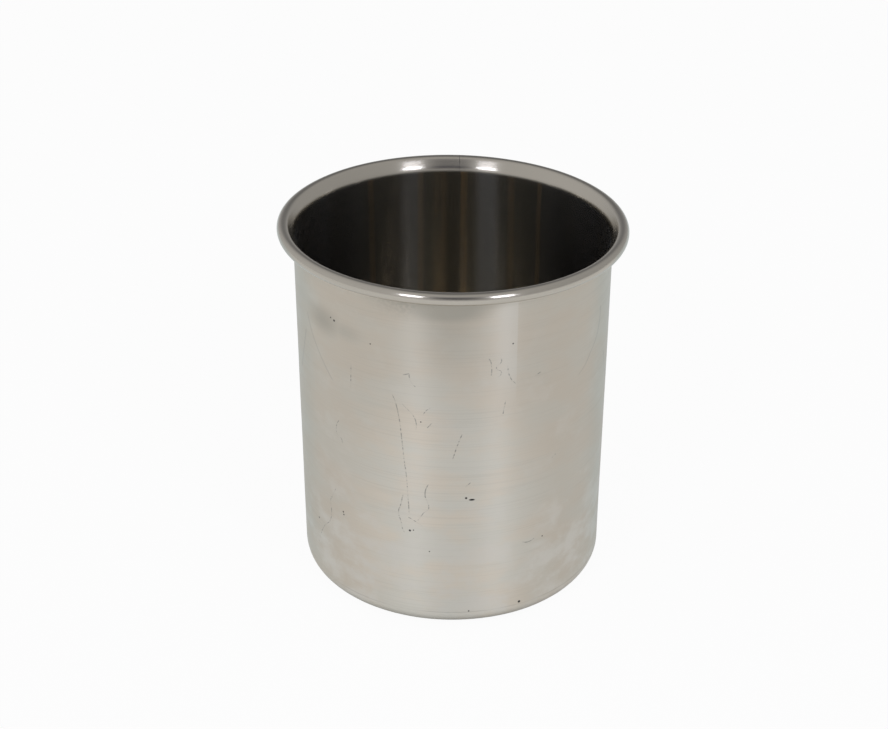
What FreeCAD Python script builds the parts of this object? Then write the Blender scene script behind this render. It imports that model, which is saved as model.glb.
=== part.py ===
import FreeCAD, Part
import math
import os

# Deep drawn metal cup: one sheet drawn to a straight-sided pot with a flat floor, a rounded base corner,
# a short flared neck and a rim rolled outward to an open round bead.
# The frame: the origin is the middle of the base's underside, +Z is up along the cup's axis.

# Driving dimensions, mm and degrees.
height = 153.8
sheet = 0.8
body_diameter = 127.6
draft = 0.35
base_corner_radius = 7.6
neck_radius = 5.5
flare_angle = 35
rim_diameter = 140.1
bead_diameter = 5.0
curl_gap = 0.3

V = FreeCAD.Vector


def on_circle(centre, radius, angle):
    """Point of the section at an angle, in radians from +X towards +Z, on a circle."""
    return V(centre.x + radius * math.cos(angle), 0, centre.z + radius * math.sin(angle))


def arc(centre, radius, start, end):
    """Arc of the section from the start angle to the end angle."""
    middle = (start + end) / 2
    ends = [on_circle(centre, radius, angle) for angle in (start, middle, end)]
    return Part.Arc(*ends).toShape()


# The wall leans outward by the draft angle. All angles below are directions from an arc's centre to the
# sheet's inside face, which becomes the outside face of the bead.
lean = math.radians(draft)
wall_angle = math.pi - lean

# Bead: a round curl that touches the top plane and the rim diameter.
bead_radius = bead_diameter / 2
bead = V(rim_diameter / 2 - bead_radius, 0, height - bead_radius)

# Neck: the inside face turns outward about this centre, low enough for one straight cone, the flare, to
# touch both the neck's arc and the bead's arc.
flare = math.radians(flare_angle)
cone_angle = math.pi - flare
neck_x = body_diameter / 2 - sheet + neck_radius
neck_drop = (neck_radius - bead_radius + (bead.x - neck_x) * math.cos(flare)) / math.sin(flare)
neck = V(neck_x, 0, bead.z - neck_drop)

# The curl stops short of the flare's outer face, with a rounded raw edge.
edge_radius = sheet / 2
edge_path = bead_radius - edge_radius
stop = math.acos((bead_radius - sheet - curl_gap - edge_radius) / edge_path)
curl_end = stop - math.pi - flare
edge_centre = on_circle(bead, edge_path, curl_end)

# Base corner: it touches the base plane and the leaning wall.
corner_drop = (neck.z - base_corner_radius) * math.sin(lean)
corner_reach = neck_radius - sheet + base_corner_radius + corner_drop
corner = V(neck.x - corner_reach / math.cos(lean), 0, base_corner_radius)
down = -math.pi / 2


def face_of_sheet(neck_r, bead_r, corner_r, floor_z):
    """One face of the sheet, from the axis at the floor to the end of the curl."""
    points = [
        V(0, 0, floor_z),
        V(corner.x, 0, floor_z),
        on_circle(corner, corner_r, -lean),
        on_circle(neck, neck_r, wall_angle),
        on_circle(neck, neck_r, cone_angle),
        on_circle(bead, bead_r, cone_angle),
    ]
    return [
        Part.makeLine(points[0], points[1]),
        arc(corner, corner_r, down, -lean),
        Part.makeLine(points[2], points[3]),
        arc(neck, neck_r, wall_angle, cone_angle),
        Part.makeLine(points[4], points[5]),
        arc(bead, bead_r, cone_angle, curl_end),
    ]


inside = face_of_sheet(neck_radius, bead_radius, base_corner_radius - sheet, sheet)
outside = face_of_sheet(neck_radius - sheet, bead_radius - sheet, base_corner_radius, 0)
raw_edge = arc(edge_centre, edge_radius, curl_end, curl_end - math.pi)
axis_line = Part.makeLine(V(0, 0, 0), V(0, 0, sheet))

section = Part.Wire(inside + [raw_edge] + outside[::-1] + [axis_line])
cup = Part.Face(section).revolve(V(0, 0, 0), V(0, 0, 1), 360)

os.makedirs("parts", exist_ok=True)
cup.exportStep("parts/cup.step")
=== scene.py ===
import math

import bpy
import numpy as np
from mathutils import Matrix, Vector, noise


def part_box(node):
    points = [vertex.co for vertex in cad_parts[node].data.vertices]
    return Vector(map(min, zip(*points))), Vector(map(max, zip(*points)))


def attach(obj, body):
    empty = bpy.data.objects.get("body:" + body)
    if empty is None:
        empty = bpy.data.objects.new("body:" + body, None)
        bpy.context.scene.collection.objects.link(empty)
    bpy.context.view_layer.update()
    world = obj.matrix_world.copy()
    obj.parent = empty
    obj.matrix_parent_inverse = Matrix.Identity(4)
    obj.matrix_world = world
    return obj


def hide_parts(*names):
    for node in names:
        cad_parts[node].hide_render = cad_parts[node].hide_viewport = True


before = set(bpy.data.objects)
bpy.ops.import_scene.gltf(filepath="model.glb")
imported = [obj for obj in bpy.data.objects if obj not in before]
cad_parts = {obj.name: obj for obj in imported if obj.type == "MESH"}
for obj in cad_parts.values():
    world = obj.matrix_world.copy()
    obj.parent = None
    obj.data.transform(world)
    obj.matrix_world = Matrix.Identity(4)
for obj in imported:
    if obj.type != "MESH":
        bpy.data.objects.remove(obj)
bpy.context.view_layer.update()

# ---------------------------------------------------------------------------------------------------------
# The drawn sheet. One round blank of stainless sheet is drawn into a straight pot: flat floor, rounded base
# corner, a wall with a little draft, a neck that flares outward and a rim curled over into an open bead.
# The press leaves it very nearly round, with a rim that sits a touch out of square.

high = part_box("cup")[1]
HEIGHT = high.z
RIM_RADIUS = high.x
SHEET = 0.0008
BODY_RADIUS = 0.0638
DRAFT = math.radians(0.35)
CORNER_RADIUS = 0.0076
NECK_RADIUS = 0.0055
FLARE = math.radians(35)
BEAD_RADIUS = 0.0025
CURL_GAP = 0.0003
# Metres of rise per metre across: lower to the right, and lower at the back.
RIM_TILT = 0.0108
RIM_NOD = 0.003
# Points round the cup, and points along each length of the section.
AROUND = 384
FLOOR_STEPS = 9
CORNER_STEPS = 12
WALL_STEPS = 45
NECK_STEPS = 12
FLARE_STEPS = 4
INNER_CURL_STEPS = 40
OUTER_CURL_STEPS = 20


def on_circle(centre, radius, angle):
    """Point of the section at an angle, from outward towards up, on a circle."""
    return np.array([centre[0] + radius * math.cos(angle), centre[1] + radius * math.sin(angle)])


def sweep(centre, radius, start, end, count):
    return [on_circle(centre, radius, angle) for angle in np.linspace(start, end, count)]


def run(start, end, count):
    return [start + (end - start) * t for t in np.linspace(0, 1, count)]


bead = np.array([RIM_RADIUS - BEAD_RADIUS, HEIGHT - BEAD_RADIUS])
neck_x = BODY_RADIUS - SHEET + NECK_RADIUS
neck_drop = (NECK_RADIUS - BEAD_RADIUS + (bead[0] - neck_x) * math.cos(FLARE)) / math.sin(FLARE)
neck = np.array([neck_x, bead[1] - neck_drop])
wall_angle = math.pi - DRAFT
cone_angle = math.pi - FLARE
edge_path = BEAD_RADIUS - SHEET / 2
curl_end = math.acos((BEAD_RADIUS - 1.5 * SHEET - CURL_GAP) / edge_path) - math.pi - FLARE
corner_reach = NECK_RADIUS - SHEET + CORNER_RADIUS + (neck[1] - CORNER_RADIUS) * math.sin(DRAFT)
corner = np.array([neck[0] - corner_reach / math.cos(DRAFT), CORNER_RADIUS])


def face_of_sheet(neck_r, bead_r, corner_r, floor_z, curl_steps):
    """One face of the sheet as (radius, height) points, from the floor to the end of the curl."""
    rows = run(np.array([0.0, floor_z]), np.array([corner[0], floor_z]), FLOOR_STEPS)[1:]
    rows += sweep(corner, corner_r, -math.pi / 2, -DRAFT, CORNER_STEPS)[1:]
    rows += run(rows[-1], on_circle(neck, neck_r, wall_angle), WALL_STEPS)[1:]
    rows += sweep(neck, neck_r, wall_angle, cone_angle, NECK_STEPS)[1:]
    rows += run(rows[-1], on_circle(bead, bead_r, cone_angle), FLARE_STEPS)[1:]
    rows += sweep(bead, bead_r, cone_angle, curl_end, curl_steps)[1:]
    return rows


inside = face_of_sheet(NECK_RADIUS, BEAD_RADIUS, CORNER_RADIUS - SHEET, SHEET, INNER_CURL_STEPS)
outside = face_of_sheet(NECK_RADIUS - SHEET, BEAD_RADIUS - SHEET, CORNER_RADIUS, 0.0, OUTER_CURL_STEPS)
edge_centre = on_circle(bead, edge_path, curl_end)
raw_edge = sweep(edge_centre, SHEET / 2, curl_end, curl_end - math.pi, 6)[1:-1]
section = inside + raw_edge + outside[::-1]


def settle(radius, angle, height):
    """Point of the sheet as it really came out: rim out of square, wall a hair out of round."""
    near_rim = min(1.0, max(0.0, (height - (HEIGHT - 0.035)) / 0.0233))
    x, y = radius * math.cos(angle), radius * math.sin(angle)
    wave = noise.noise(Vector((x * 22, y * 22, height * 14)))
    wave += 0.4 * noise.noise(Vector((x * 60, y * 60, height * 35)))
    out = 1 + 0.00012 * min(1.0, radius / 0.055) * wave / max(radius, 0.01)
    return x * out, y * out, height - (RIM_TILT * x + RIM_NOD * y) * near_rim


points = [(0.0, 0.0, SHEET)]
for radius, height in section:
    points += [settle(radius, 2 * math.pi * k / AROUND, height) for k in range(AROUND)]
points.append((0.0, 0.0, 0.0))

# Three finishes meet on the one sheet: polished inside, polished rim, satin outside. They change where the
# inside wall starts to turn outward, and under the bead.
INSIDE, RIM, OUTSIDE = 0, 1, 2
rim_start = (FLOOR_STEPS - 1) + (CORNER_STEPS - 1) + (WALL_STEPS - 1) + 1
rim_end = len(inside) + len(raw_edge) + (OUTER_CURL_STEPS - 1) + (FLARE_STEPS - 1) + 4
faces = [(0, 1 + k, 1 + (k + 1) % AROUND) for k in range(AROUND)]
finishes = [INSIDE] * AROUND
for row in range(len(section) - 1):
    a = 1 + row * AROUND
    for k in range(AROUND):
        n = (k + 1) % AROUND
        faces.append((a + k, a + AROUND + k, a + AROUND + n, a + n))
    finishes += [INSIDE if row < rim_start else RIM if row < rim_end else OUTSIDE] * AROUND
last = 1 + (len(section) - 1) * AROUND
faces += [(len(points) - 1, last + (k + 1) % AROUND, last + k) for k in range(AROUND)]
finishes += [OUTSIDE] * AROUND

mesh = bpy.data.meshes.new("drawn_cup")
mesh.from_pydata(points, [], faces)
cup = bpy.data.objects.new("drawn_cup", mesh)
bpy.context.scene.collection.objects.link(cup)
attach(cup, "root")
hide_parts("cup")

# ---------------------------------------------------------------------------------------------------------
# The inside: mirror-like from the drawing die and later polishing, with fine rings left by the polishing
# wheel and a few light hairline scratches. Painted on it: warm reflections streaked down the far wall, two
# brighter bands of painted lamp reflection, and a cooler painted reflection towards the sides.


class Value:
    """A shader number: Python's operators on it add the Math nodes."""

    def __init__(self, finish, socket):
        self.finish = finish
        self.socket = socket

    def maths(self, operation, *others):
        return self.finish.number("ShaderNodeMath", {"operation": operation}, dict(enumerate(others)))

    def __add__(self, other):
        return self.maths("ADD", self, other)

    def __mul__(self, other):
        return self.maths("MULTIPLY", self, other)

    def __sub__(self, other):
        return self.maths("SUBTRACT", self, other)

    def __rsub__(self, other):
        return self.maths("SUBTRACT", other, self)

    def __truediv__(self, other):
        return self.maths("DIVIDE", self, other)

    def __pow__(self, other):
        return self.maths("POWER", self, other)

    def __abs__(self):
        return self.maths("ABSOLUTE", self)

    def __or__(self, other):
        """The larger of two masks."""
        return self.maths("MAXIMUM", self, other)

    __radd__ = __add__
    __rmul__ = __mul__


class Finish:
    """The node tree of a material or of the room."""

    def __init__(self, tree):
        self.tree = tree
        self.tree.nodes.clear()

    def node(self, kind, settings, sockets):
        """Add a node: its settings first, a curve's points among them, then its sockets, set or linked."""
        made = self.tree.nodes.new(kind)
        for name, value in settings.items():
            if name == "points":
                line = made.mapping.curves[0].points
                line[0].location, line[1].location = value[0], value[-1]
                for place in value[1:-1]:
                    line.new(*place)
            else:
                setattr(made, name, value)
        for name, value in sockets.items():
            if isinstance(value, (Value, bpy.types.NodeSocket)):
                self.tree.links.new(getattr(value, "socket", value), made.inputs[name])
            else:
                made.inputs[name].default_value = value
        return made

    def number(self, kind, settings, sockets, output=0):
        return Value(self, self.node(kind, settings, sockets).outputs[output])

    def places(self):
        """Place on the object: x, y and z in metres as one vector, and one by one."""
        spot = self.node("ShaderNodeTexCoord", {}, {}).outputs["Object"]
        parts = self.node("ShaderNodeSeparateXYZ", {}, {0: spot}).outputs
        return spot, [Value(self, part) for part in parts]

    def grain(self, spot, across, up, detail=2.0, roughness=0.5):
        """Noise from 0 to 1 whose grain is so many millimetres across and up."""
        size = (1000 / across, 1000 / across, 1000 / up)
        scaled = self.node("ShaderNodeVectorMath", {"operation": "MULTIPLY"}, {0: spot, 1: size}).outputs[0]
        sockets = {"Vector": scaled, "Scale": 1.0, "Detail": detail, "Roughness": roughness}
        return self.number("ShaderNodeTexNoise", {}, sockets)

    def ease(self, value, start, end):
        """Mask that eases from 0 at the start to 1 at the end."""
        sockets = {"Value": value, "From Min": start, "From Max": end}
        return self.number("ShaderNodeMapRange", {"interpolation_type": "SMOOTHSTEP"}, sockets)

    def blend(self, mask, a, b):
        """Colour a where the mask is 0 and b where it is 1."""
        sockets = {"Factor": mask}
        sockets[6] = a if not isinstance(a, tuple) else (*a, 1)
        sockets[7] = b if not isinstance(b, tuple) else (*b, 1)
        return self.node("ShaderNodeMix", {"data_type": "RGBA"}, sockets).outputs[2]

    def close(self, shader):
        self.node("ShaderNodeOutputMaterial", {}, {0: shader})


def new_finish(name):
    material = bpy.data.materials.new(name)
    material.use_nodes = True
    mesh.materials.append(material)
    return Finish(material.node_tree)


def metal(finish, colour, roughness, blur, relief=None, depth=0.0):
    """Steel whose polish runs round the cup, so that it draws out reflections up and down."""
    sockets = {"Base Color": colour, "Metallic": 1.0, "Roughness": roughness, "Anisotropic": blur}
    sockets["Anisotropic Rotation"] = 0.25
    if relief:
        raised = {"Height": relief, "Strength": 1.0, "Distance": depth}
        sockets["Normal"] = finish.node("ShaderNodeBump", {}, raised).outputs[0]
    finish.close(finish.node("ShaderNodeBsdfPrincipled", {}, sockets).outputs[0])


INSIDE_STEEL = (0.50, 0.465, 0.385)
INSIDE_COOL_REFLECTION = (0.60, 0.61, 0.64)
INSIDE_WARM_REFLECTION = (0.86, 0.64, 0.39)
INSIDE_LAMP_BANDS = (0.72, 0.70, 0.65)
INSIDE_RING = (0.30, 0.28, 0.24)
INSIDE_WIDTH = 1000 * (BODY_RADIUS - SHEET)
# Painted warm reflections streaked down the far wall: millimetres round it from the back, width, strength.
WARM_REFLECTION_STREAKS = ((-37, 2.0, 0.5), (-14, 2.0, 0.4), (-5, 4.0, 0.35), (5, 2.0, 1.0), (26, 2.2, 0.35), (39, 1.6, 0.6))


def hairline(finish, along, aside, places, width=0.3):
    """Mask of a scratch through places, each (millimetres aside, millimetres along), in order along."""
    start, end = places[0][1], places[-1][1]
    left = min(place[0] for place in places) - 1
    reach = max(place[0] for place in places) + 1 - left
    stops = [((far - start) / (end - start), (off - left) / reach) for off, far in places]
    way = (along - start) / (end - start)
    line = finish.number("ShaderNodeFloatCurve", {"points": stops}, {"Value": way})
    on = 1 - finish.ease(abs(way - 0.5), 0.47, 0.51)
    return on * (1 - finish.ease(abs(aside - left - line * reach), 0.3 * width, width))


def strongest(masks):
    """The largest of several masks at each place."""
    found = masks[0]
    for mask in masks[1:]:
        found = found | mask
    return found


bright = new_finish("polished_inside")
spot, (x, y, z) = bright.places()
across = x.maths("ARCTAN2", x, y) * INSIDE_WIDTH
up = z * 1000
rings = bright.grain(spot, 60, 0.6)
wander = 2.5 * bright.grain(spot, 30, 70) - 1.25
# Painted reflection: warm brown streaks down the far wall.
painted_warm_streaks = strongest([strength * (1 - bright.ease(abs(across + wander - place), 0.3 * wide, wide))
                     for place, wide, strength in WARM_REFLECTION_STREAKS])
on_wall = bright.ease(up, 5, 16)
painted_warm_streaks = painted_warm_streaks * bright.ease(bright.grain(spot, 8, 60), 0.25, 0.5) * on_wall
nicks = hairline(bright, across, up, [(128, 27), (127, 33), (127, 39)], 0.18)
nicks = nicks | hairline(bright, across, up, [(120, 51), (118, 56)], 0.18)
nicks = nicks * bright.ease(bright.grain(spot, 1.5, 1.5), 0.45, 0.6)
# Painted reflection: the wall turns cooler towards the sides of the mouth.
painted_side_reflection = bright.ease(abs(across), 35, 75) * on_wall
colour = bright.blend(painted_side_reflection, INSIDE_STEEL, INSIDE_COOL_REFLECTION)
colour = bright.blend(0.3 * bright.ease(rings, 0.45, 0.7), colour, INSIDE_RING)
# Painted highlight: two brighter bands down the far wall, under the two softboxes.
clear = 0.5 * (1 - bright.ease(abs(across + 18), 2, 7)) | 1 - bright.ease(abs(across - 15), 2, 7)
colour = bright.blend(clear * on_wall, colour, INSIDE_LAMP_BANDS)
colour = bright.blend(painted_warm_streaks, colour, INSIDE_WARM_REFLECTION)
colour = bright.blend(0.15 * nicks, colour, (0.9, 0.9, 0.9))
metal(bright, colour, 0.18 + 0.05 * nicks, 0.9)

# ---------------------------------------------------------------------------------------------------------
# The rim: the neck and the curled bead, buffed bright all round. The stretched metal has one hairline split
# across the curl at the back.

RIM_STEEL = (0.52, 0.49, 0.43)
RIM_SPLIT = (0.12, 0.115, 0.11)
SPLIT_PLACE = 2.8  # millimetres to the right of the middle

buffed = new_finish("buffed_rim")
spot, (x, y, z) = buffed.places()
hairs = buffed.grain(spot, 25, 0.35)
split = 1 - buffed.ease(abs(x * 1000 - SPLIT_PLACE - 0.3 * buffed.grain(spot, 2, 2)), 0.05, 0.22)
split = split * buffed.ease(y, 0, 0.01) * buffed.ease(buffed.grain(spot, 1.5, 1.5), 0.35, 0.5)
colour = buffed.blend(0.6 * split, RIM_STEEL, RIM_SPLIT)
metal(buffed, colour, 0.17 + 0.05 * hairs, 0.85, hairs, 0.000002)

# ---------------------------------------------------------------------------------------------------------
# The outside wall: satin from a belt that ran round it, dulled by years of handling. It has pale cloudy
# smears, a grey smudge, hairline scratches and small pits, and a fine dark line where the corner starts.
# Painted on it: a broad highlight in the middle, a pale sheen strip near the top right, and shade below the
# bead and on the base corner.

SATIN_STEEL = (0.615, 0.58, 0.505)
SATIN_WARM = (0.62, 0.565, 0.48)
SATIN_PALE = (0.70, 0.675, 0.615)
SATIN_HIGHLIGHT = (0.685, 0.665, 0.595)
SATIN_HIGHLIGHT_WARM = (0.72, 0.66, 0.565)
SATIN_GRIME_AND_SHADE = (0.42, 0.40, 0.345)
SCRATCH = (0.36, 0.345, 0.31)
PIT = (0.03, 0.03, 0.03)
WALL_WIDTH = 1000 * BODY_RADIUS
FOOT_LINE = 7.2  # millimetres up, where the corner starts

satin = new_finish("satin_outside")
spot, (x, y, z) = satin.places()
around = x.maths("ARCTAN2", x, y * -1) * WALL_WIDTH
up = z * 1000


def spot_at(place, wide, tall, soft=0.5):
    """Round or oval mask at a place (millimetres round the wall from the front, millimetres up)."""
    far = (((around - place[0]) / wide) ** 2 + ((up - place[1]) / tall) ** 2) ** 0.5
    return 1 - satin.ease(far, soft, 1.0)


# Scratches that run up the wall, lowest place first.
UPRIGHT = (
    [(-17.5, 53.5), (-18, 63), (-18.5, 71), (-19.5, 79.5), (-20.5, 90.5), (-21.5, 98.5), (-24, 107)],
    [(-14.5, 92.5), (-14.5, 96.5), (-16, 99.5), (-18.5, 102), (-20, 103.5)],
    [(-11.5, 99.5), (-10.5, 101.5), (-8.5, 103)],
    [(-10, 94), (-8, 96.5)],
    [(-14.5, 111.5), (-16.5, 114), (-17, 117)],
    [(-48.5, 77), (-49, 79), (-51.5, 80), (-52, 82.5), (-50, 87)],
    [(-43, 104), (-42.5, 114.5)],
    [(-19.5, 44.5), (-20.5, 46.5), (-21, 49.5), (-22, 53.5), (-21, 57.5), (-20, 62.5)],
    [(-14, 51), (-11.5, 55), (-9.5, 57.5), (-10, 60), (-11, 63.5), (-9.5, 68.5)],
    [(-68.5, 20), (-66, 26), (-62.5, 31.5), (-58, 36.5), (-57, 42), (-57.5, 45.5), (-56, 49), (-53, 54.5)],
    [(14.5, 116.5), (14.5, 121.5), (13.5, 124)],
    [(17, 115.5), (18.5, 117.5), (16.5, 119.5), (18.5, 122.5), (17, 124)],
    [(24.5, 111.5), (22, 115), (21, 120)],
    [(19.5, 99), (20.5, 105)],
    [(0, 80.5), (2, 87.5), (3.5, 91.5)],
    [(5, 67.5), (7, 69.5)],
)
# Long faint darker lines that curve down both sides, lowest place first.
SIDE_CURVES = (
    [(-53, 103.5), (-58, 108.5), (-63.5, 114.5), (-68, 120.5), (-71, 126.5)],
    [(55.5, 105), (61, 108), (64.5, 111.5), (68, 114.5), (71.5, 120), (72.5, 129)],
    [(-82, 96.5), (-77.5, 106.5), (-73, 118)],
    [(85, 92.5), (79.5, 105.5)],
)
# Scratches that run round the wall, leftmost place first, each (up, round).
LEVEL = (
    [(52, -18), (50.5, -15), (48.5, -12)],
    [(116, -19.5), (117, -17)],
    [(73, 42.5), (74, 44.5)],
    [(113, 33), (114, 35.5)],
    [(37.5, 29.5), (36.8, 32), (37.6, 35)],
)
PITS = ((-51, 130.8, 0.6), (-53, 131.4, 0.4), (-33, 126.5, 0.35), (23, 129, 0.4), (-12.5, 96.4, 0.35),
        (-17.3, 45.8, 0.6), (-15.8, 46.2, 0.35), (-49.3, 44.4, 0.5), (-49, 43.2, 0.45), (-67.6, 32.3, 0.5),
        (-9.3, 36.8, 0.35), (28.6, 8.5, 0.75), (6.8, 7.9, 0.4), (39, 37.2, 0.4), (5.3, 62.4, 0.6))

# Grain of the belt, the tones that washing left over it, and the painted light and shade.
belt = satin.grain(spot, 45, 0.45, 3.0)
fleck = satin.grain(spot, 1.4, 1.1, 3.0)
tone = satin.grain(spot, 30, 16, 4.0, 0.55)
haze = satin.grain(spot, 17, 11, 5.0, 0.62)
low_wall = 1 - satin.ease(up, 20, 75)
pale_smears_and_sheen = satin.ease(haze + 0.10 * low_wall, 0.50, 0.74) * (0.35 + 0.55 * low_wall)
pale_smears_and_sheen = pale_smears_and_sheen | 0.7 * spot_at((37, 34), 9, 2.6, 0.0) | 0.5 * spot_at((40, 42), 5, 1.4, 0.0)
# Painted reflection: a pale strip high on the right, with the sharp right edge where a softbox's reflection
# ends.
painted_sheen = satin.ease(around, 13, 22) * (1 - satin.ease(around, 24.5, 25.1)) * satin.ease(up, 95, 125)
pale_smears_and_sheen = pale_smears_and_sheen | 0.6 * painted_sheen
# Painted highlight: a broad brighter patch over the middle of the wall.
painted_centre_highlight = spot_at((-4, 45), 56, 95, 0.35)
foot_shade = 0.9 * (1 - satin.ease(up, 0.5, 6.5))
# Below the bead: mottled grime, and painted shade where the bead overhangs the wall. Lower down: two grey
# smudges.
smudges_and_bead_shade = spot_at((-12, 149), 30, 12, 0.2) * (0.6 + 0.4 * satin.ease(fleck, 0.35, 0.65))
smudges_and_bead_shade = smudges_and_bead_shade | 0.8 * spot_at((-58, 128.5), 15, 9, 0.0) | 0.4 * spot_at((-45, 128), 12, 6, 0.0)
smudges_and_bead_shade = smudges_and_bead_shade | 0.35 * spot_at((-3, 138), 17, 26, 0.0) | 0.85 * spot_at((-3, 146), 24, 9, 0.4)

worn = strongest([hairline(satin, up, around, places) for places in UPRIGHT]
                 + [hairline(satin, around, up, places) for places in LEVEL])
worn = worn * (0.12 + 0.88 * satin.ease(fleck, 0.46, 0.60))
side_curves = strongest([hairline(satin, up, around, places, 0.8) for places in SIDE_CURVES])
foot_line = (1 - satin.ease(abs(up - FOOT_LINE - 0.4 * satin.grain(spot, 12, 12)), 0.1, 0.35)) * 0.3
worn = worn | foot_line * satin.ease(satin.grain(spot, 18, 18), 0.35, 0.6)
pits = strongest([spot_at((7.6, 61.5), 1.5, 0.55)]
                 + [spot_at((off, height), size, size) for off, height, size in PITS])

warm = satin.ease(tone, 0.38, 0.62)
# The painted highlight's colour, warmer where the tone is warm.
centre_highlight_colour = satin.blend(warm, SATIN_HIGHLIGHT, SATIN_HIGHLIGHT_WARM)
satin_colour = satin.blend(painted_centre_highlight, satin.blend(warm, SATIN_STEEL, SATIN_WARM), centre_highlight_colour)
satin_colour = satin.blend(0.12 * satin.ease(belt, 0.5, 0.7), satin_colour, SATIN_GRIME_AND_SHADE)
# Pale cloudy smears, and the painted sheen strip.
satin_colour = satin.blend(0.9 * pale_smears_and_sheen, satin_colour, SATIN_PALE)
# Smudges, and painted shade below the bead and on the base corner.
satin_colour = satin.blend(0.9 * smudges_and_bead_shade | foot_shade, satin_colour, SATIN_GRIME_AND_SHADE)
satin_colour = satin.blend(0.3 * side_curves, satin_colour, SCRATCH)
satin_colour = satin.blend(worn, satin_colour, SCRATCH)
satin_colour = satin.blend(pits, satin_colour, PIT)
metal(satin, satin_colour, 0.32 + 0.08 * belt + 0.1 * worn, 0.9, belt - worn, 0.000003)

mesh.polygons.foreach_set("material_index", finishes)
mesh.polygons.foreach_set("use_smooth", [True] * len(faces))
mesh.update()

# ---------------------------------------------------------------------------------------------------------
# The table top under the cup: a plain white sweep, wide enough to be all that the cup mirrors below the
# horizon. It keeps the cup's shadow, and behind the cup the metal mirrors it a little cooler and darker.
# Round the foot, the glow that the metal mirrors is dimmed: a painted shadow.

# A tenth of a millimetre below the base, so that the two flat faces never lie in one plane.
TABLE_TOP = -0.0001
MIRRORED_BEHIND = (0.80, 0.88, 0.90)
floor_mesh = bpy.data.meshes.new("floor")
floor_corners = [(x, y, TABLE_TOP) for x, y in ((-4, -4), (4, -4), (4, 4), (-4, 4))]
floor_mesh.from_pydata(floor_corners, [], [(0, 1, 2, 3)])
floor = bpy.data.objects.new("floor", floor_mesh)
bpy.context.scene.collection.objects.link(floor)
white = bpy.data.materials.new("white_sweep")
white.use_nodes = True
floor_mesh.materials.append(white)
sweep_paint = Finish(white.node_tree)
rays = sweep_paint.node("ShaderNodeLightPath", {}, {}).outputs
camera_ray = Value(sweep_paint, rays["Is Camera Ray"])
mirrored = Value(sweep_paint, rays["Is Glossy Ray"]) + Value(sweep_paint, rays["Is Transmission Ray"])
spot, (x, y, z) = sweep_paint.places()
shade = (1 - camera_ray) * sweep_paint.ease(y - 0.64 * abs(x) + 0.066, -0.03, 0.03)
white_light = sweep_paint.blend(shade, (1.0, 1.0, 1.0), MIRRORED_BEHIND)
paint = sweep_paint.node("ShaderNodeBsdfDiffuse", {}, {"Color": (0.9, 0.9, 0.9, 1)}).outputs[0]
glow = sweep_paint.node("ShaderNodeEmission", {}, {"Color": white_light, "Strength": 1.0}).outputs[0]
# Painted shadow: the mirrored floor glows less right round the foot.
painted_foot_shadow = 1 - sweep_paint.ease((x**2 + y**2) ** 0.5, 0.058, 0.067)
lit = 0.95 * camera_ray + 0.6 * mirrored * (1 - 0.9 * painted_foot_shadow)
sweep_paint.close(sweep_paint.node("ShaderNodeMixShader", {}, {0: lit, 1: paint, 2: glow}).outputs[0])

# ---------------------------------------------------------------------------------------------------------
# The studio: two cool softboxes in front, one to each side of the camera, in a plain grey room that is
# darker between them, where the camera stands, and darker behind the cup.

COOL = (0.86, 0.88, 1.0)
ROOM_GREY = (0.57, 0.565, 0.57)
ROOM_BEHIND = (0.20, 0.20, 0.21)
ROOM_FRONT = (0.10, 0.10, 0.12)
CAMERA_PLACE = (-0.0035235, -0.668417, 0.449856)
CAMERA_DOWN = 28.447
CAMERA_ROLL = 0.0021


def softbox(name, azimuth, elevation, distance, width, height, power):
    """Area light aimed at the cup; the azimuth is in degrees from the front, to the right."""
    data = bpy.data.lights.new(name, "AREA")
    data.shape = "RECTANGLE"
    data.size, data.size_y = width, height
    data.energy = power
    data.color = COOL
    lamp = bpy.data.objects.new(name, data)
    a, e = math.radians(azimuth), math.radians(elevation)
    away = Vector((math.sin(a) * math.cos(e), -math.cos(a) * math.cos(e), math.sin(e)))
    lamp.location = Vector((0, 0, 0.1)) + away * distance
    lamp.rotation_euler = away.to_track_quat("Z", "Y").to_euler()
    bpy.context.scene.collection.objects.link(lamp)


softbox("left_softbox", -27.3, 36, 1.4, 0.27, 0.31, 2.3)
softbox("right_softbox", 33.5, 36, 1.1, 0.22, 0.245, 1.6)

world = bpy.data.worlds.new("studio")
world.use_nodes = True
bpy.context.scene.world = world
room = Finish(world.node_tree)
toward = room.node("ShaderNodeTexCoord", {}, {}).outputs["Generated"]
x, y, z = [Value(room, part) for part in room.node("ShaderNodeSeparateXYZ", {}, {0: toward}).outputs]
azimuth = x.maths("ARCTAN2", x, y * -1)
elevation = z.maths("ARCSINE", z)


def patch(azimuth_off, elevation_off, wide, tall):
    """Soft-edged dark patch of the room, 1 in its middle; the angles are in degrees."""
    across = abs(azimuth_off) / math.radians(wide)
    up = abs(elevation_off) / math.radians(tall)
    return (1 + across**4 + up**4) ** -1


front_gap = patch(azimuth - math.radians(3), elevation - math.radians(34), 17, 17)
behind = patch(math.pi - abs(azimuth), elevation - math.radians(45), 28, 35)
colour = room.blend(behind, ROOM_GREY, ROOM_BEHIND)
colour = room.blend(front_gap, colour, ROOM_FRONT)
sky = room.node("ShaderNodeBackground", {}, {"Color": colour, "Strength": 1 - 0.17 * x}).outputs[0]
room.node("ShaderNodeOutputWorld", {}, {0: sky})

camera_data = bpy.data.cameras.new("camera")
camera_data.sensor_width = 36
camera_data.lens = 74.24
camera = bpy.data.objects.new("camera", camera_data)
bpy.context.scene.collection.objects.link(camera)
aim = Matrix.Rotation(math.radians(90 - CAMERA_DOWN), 4, "X") @ Matrix.Rotation(CAMERA_ROLL, 4, "Z")
camera.matrix_world = Matrix.Translation(CAMERA_PLACE) @ aim
bpy.context.scene.camera = camera
bpy.context.scene.view_settings.view_transform = "Standard"
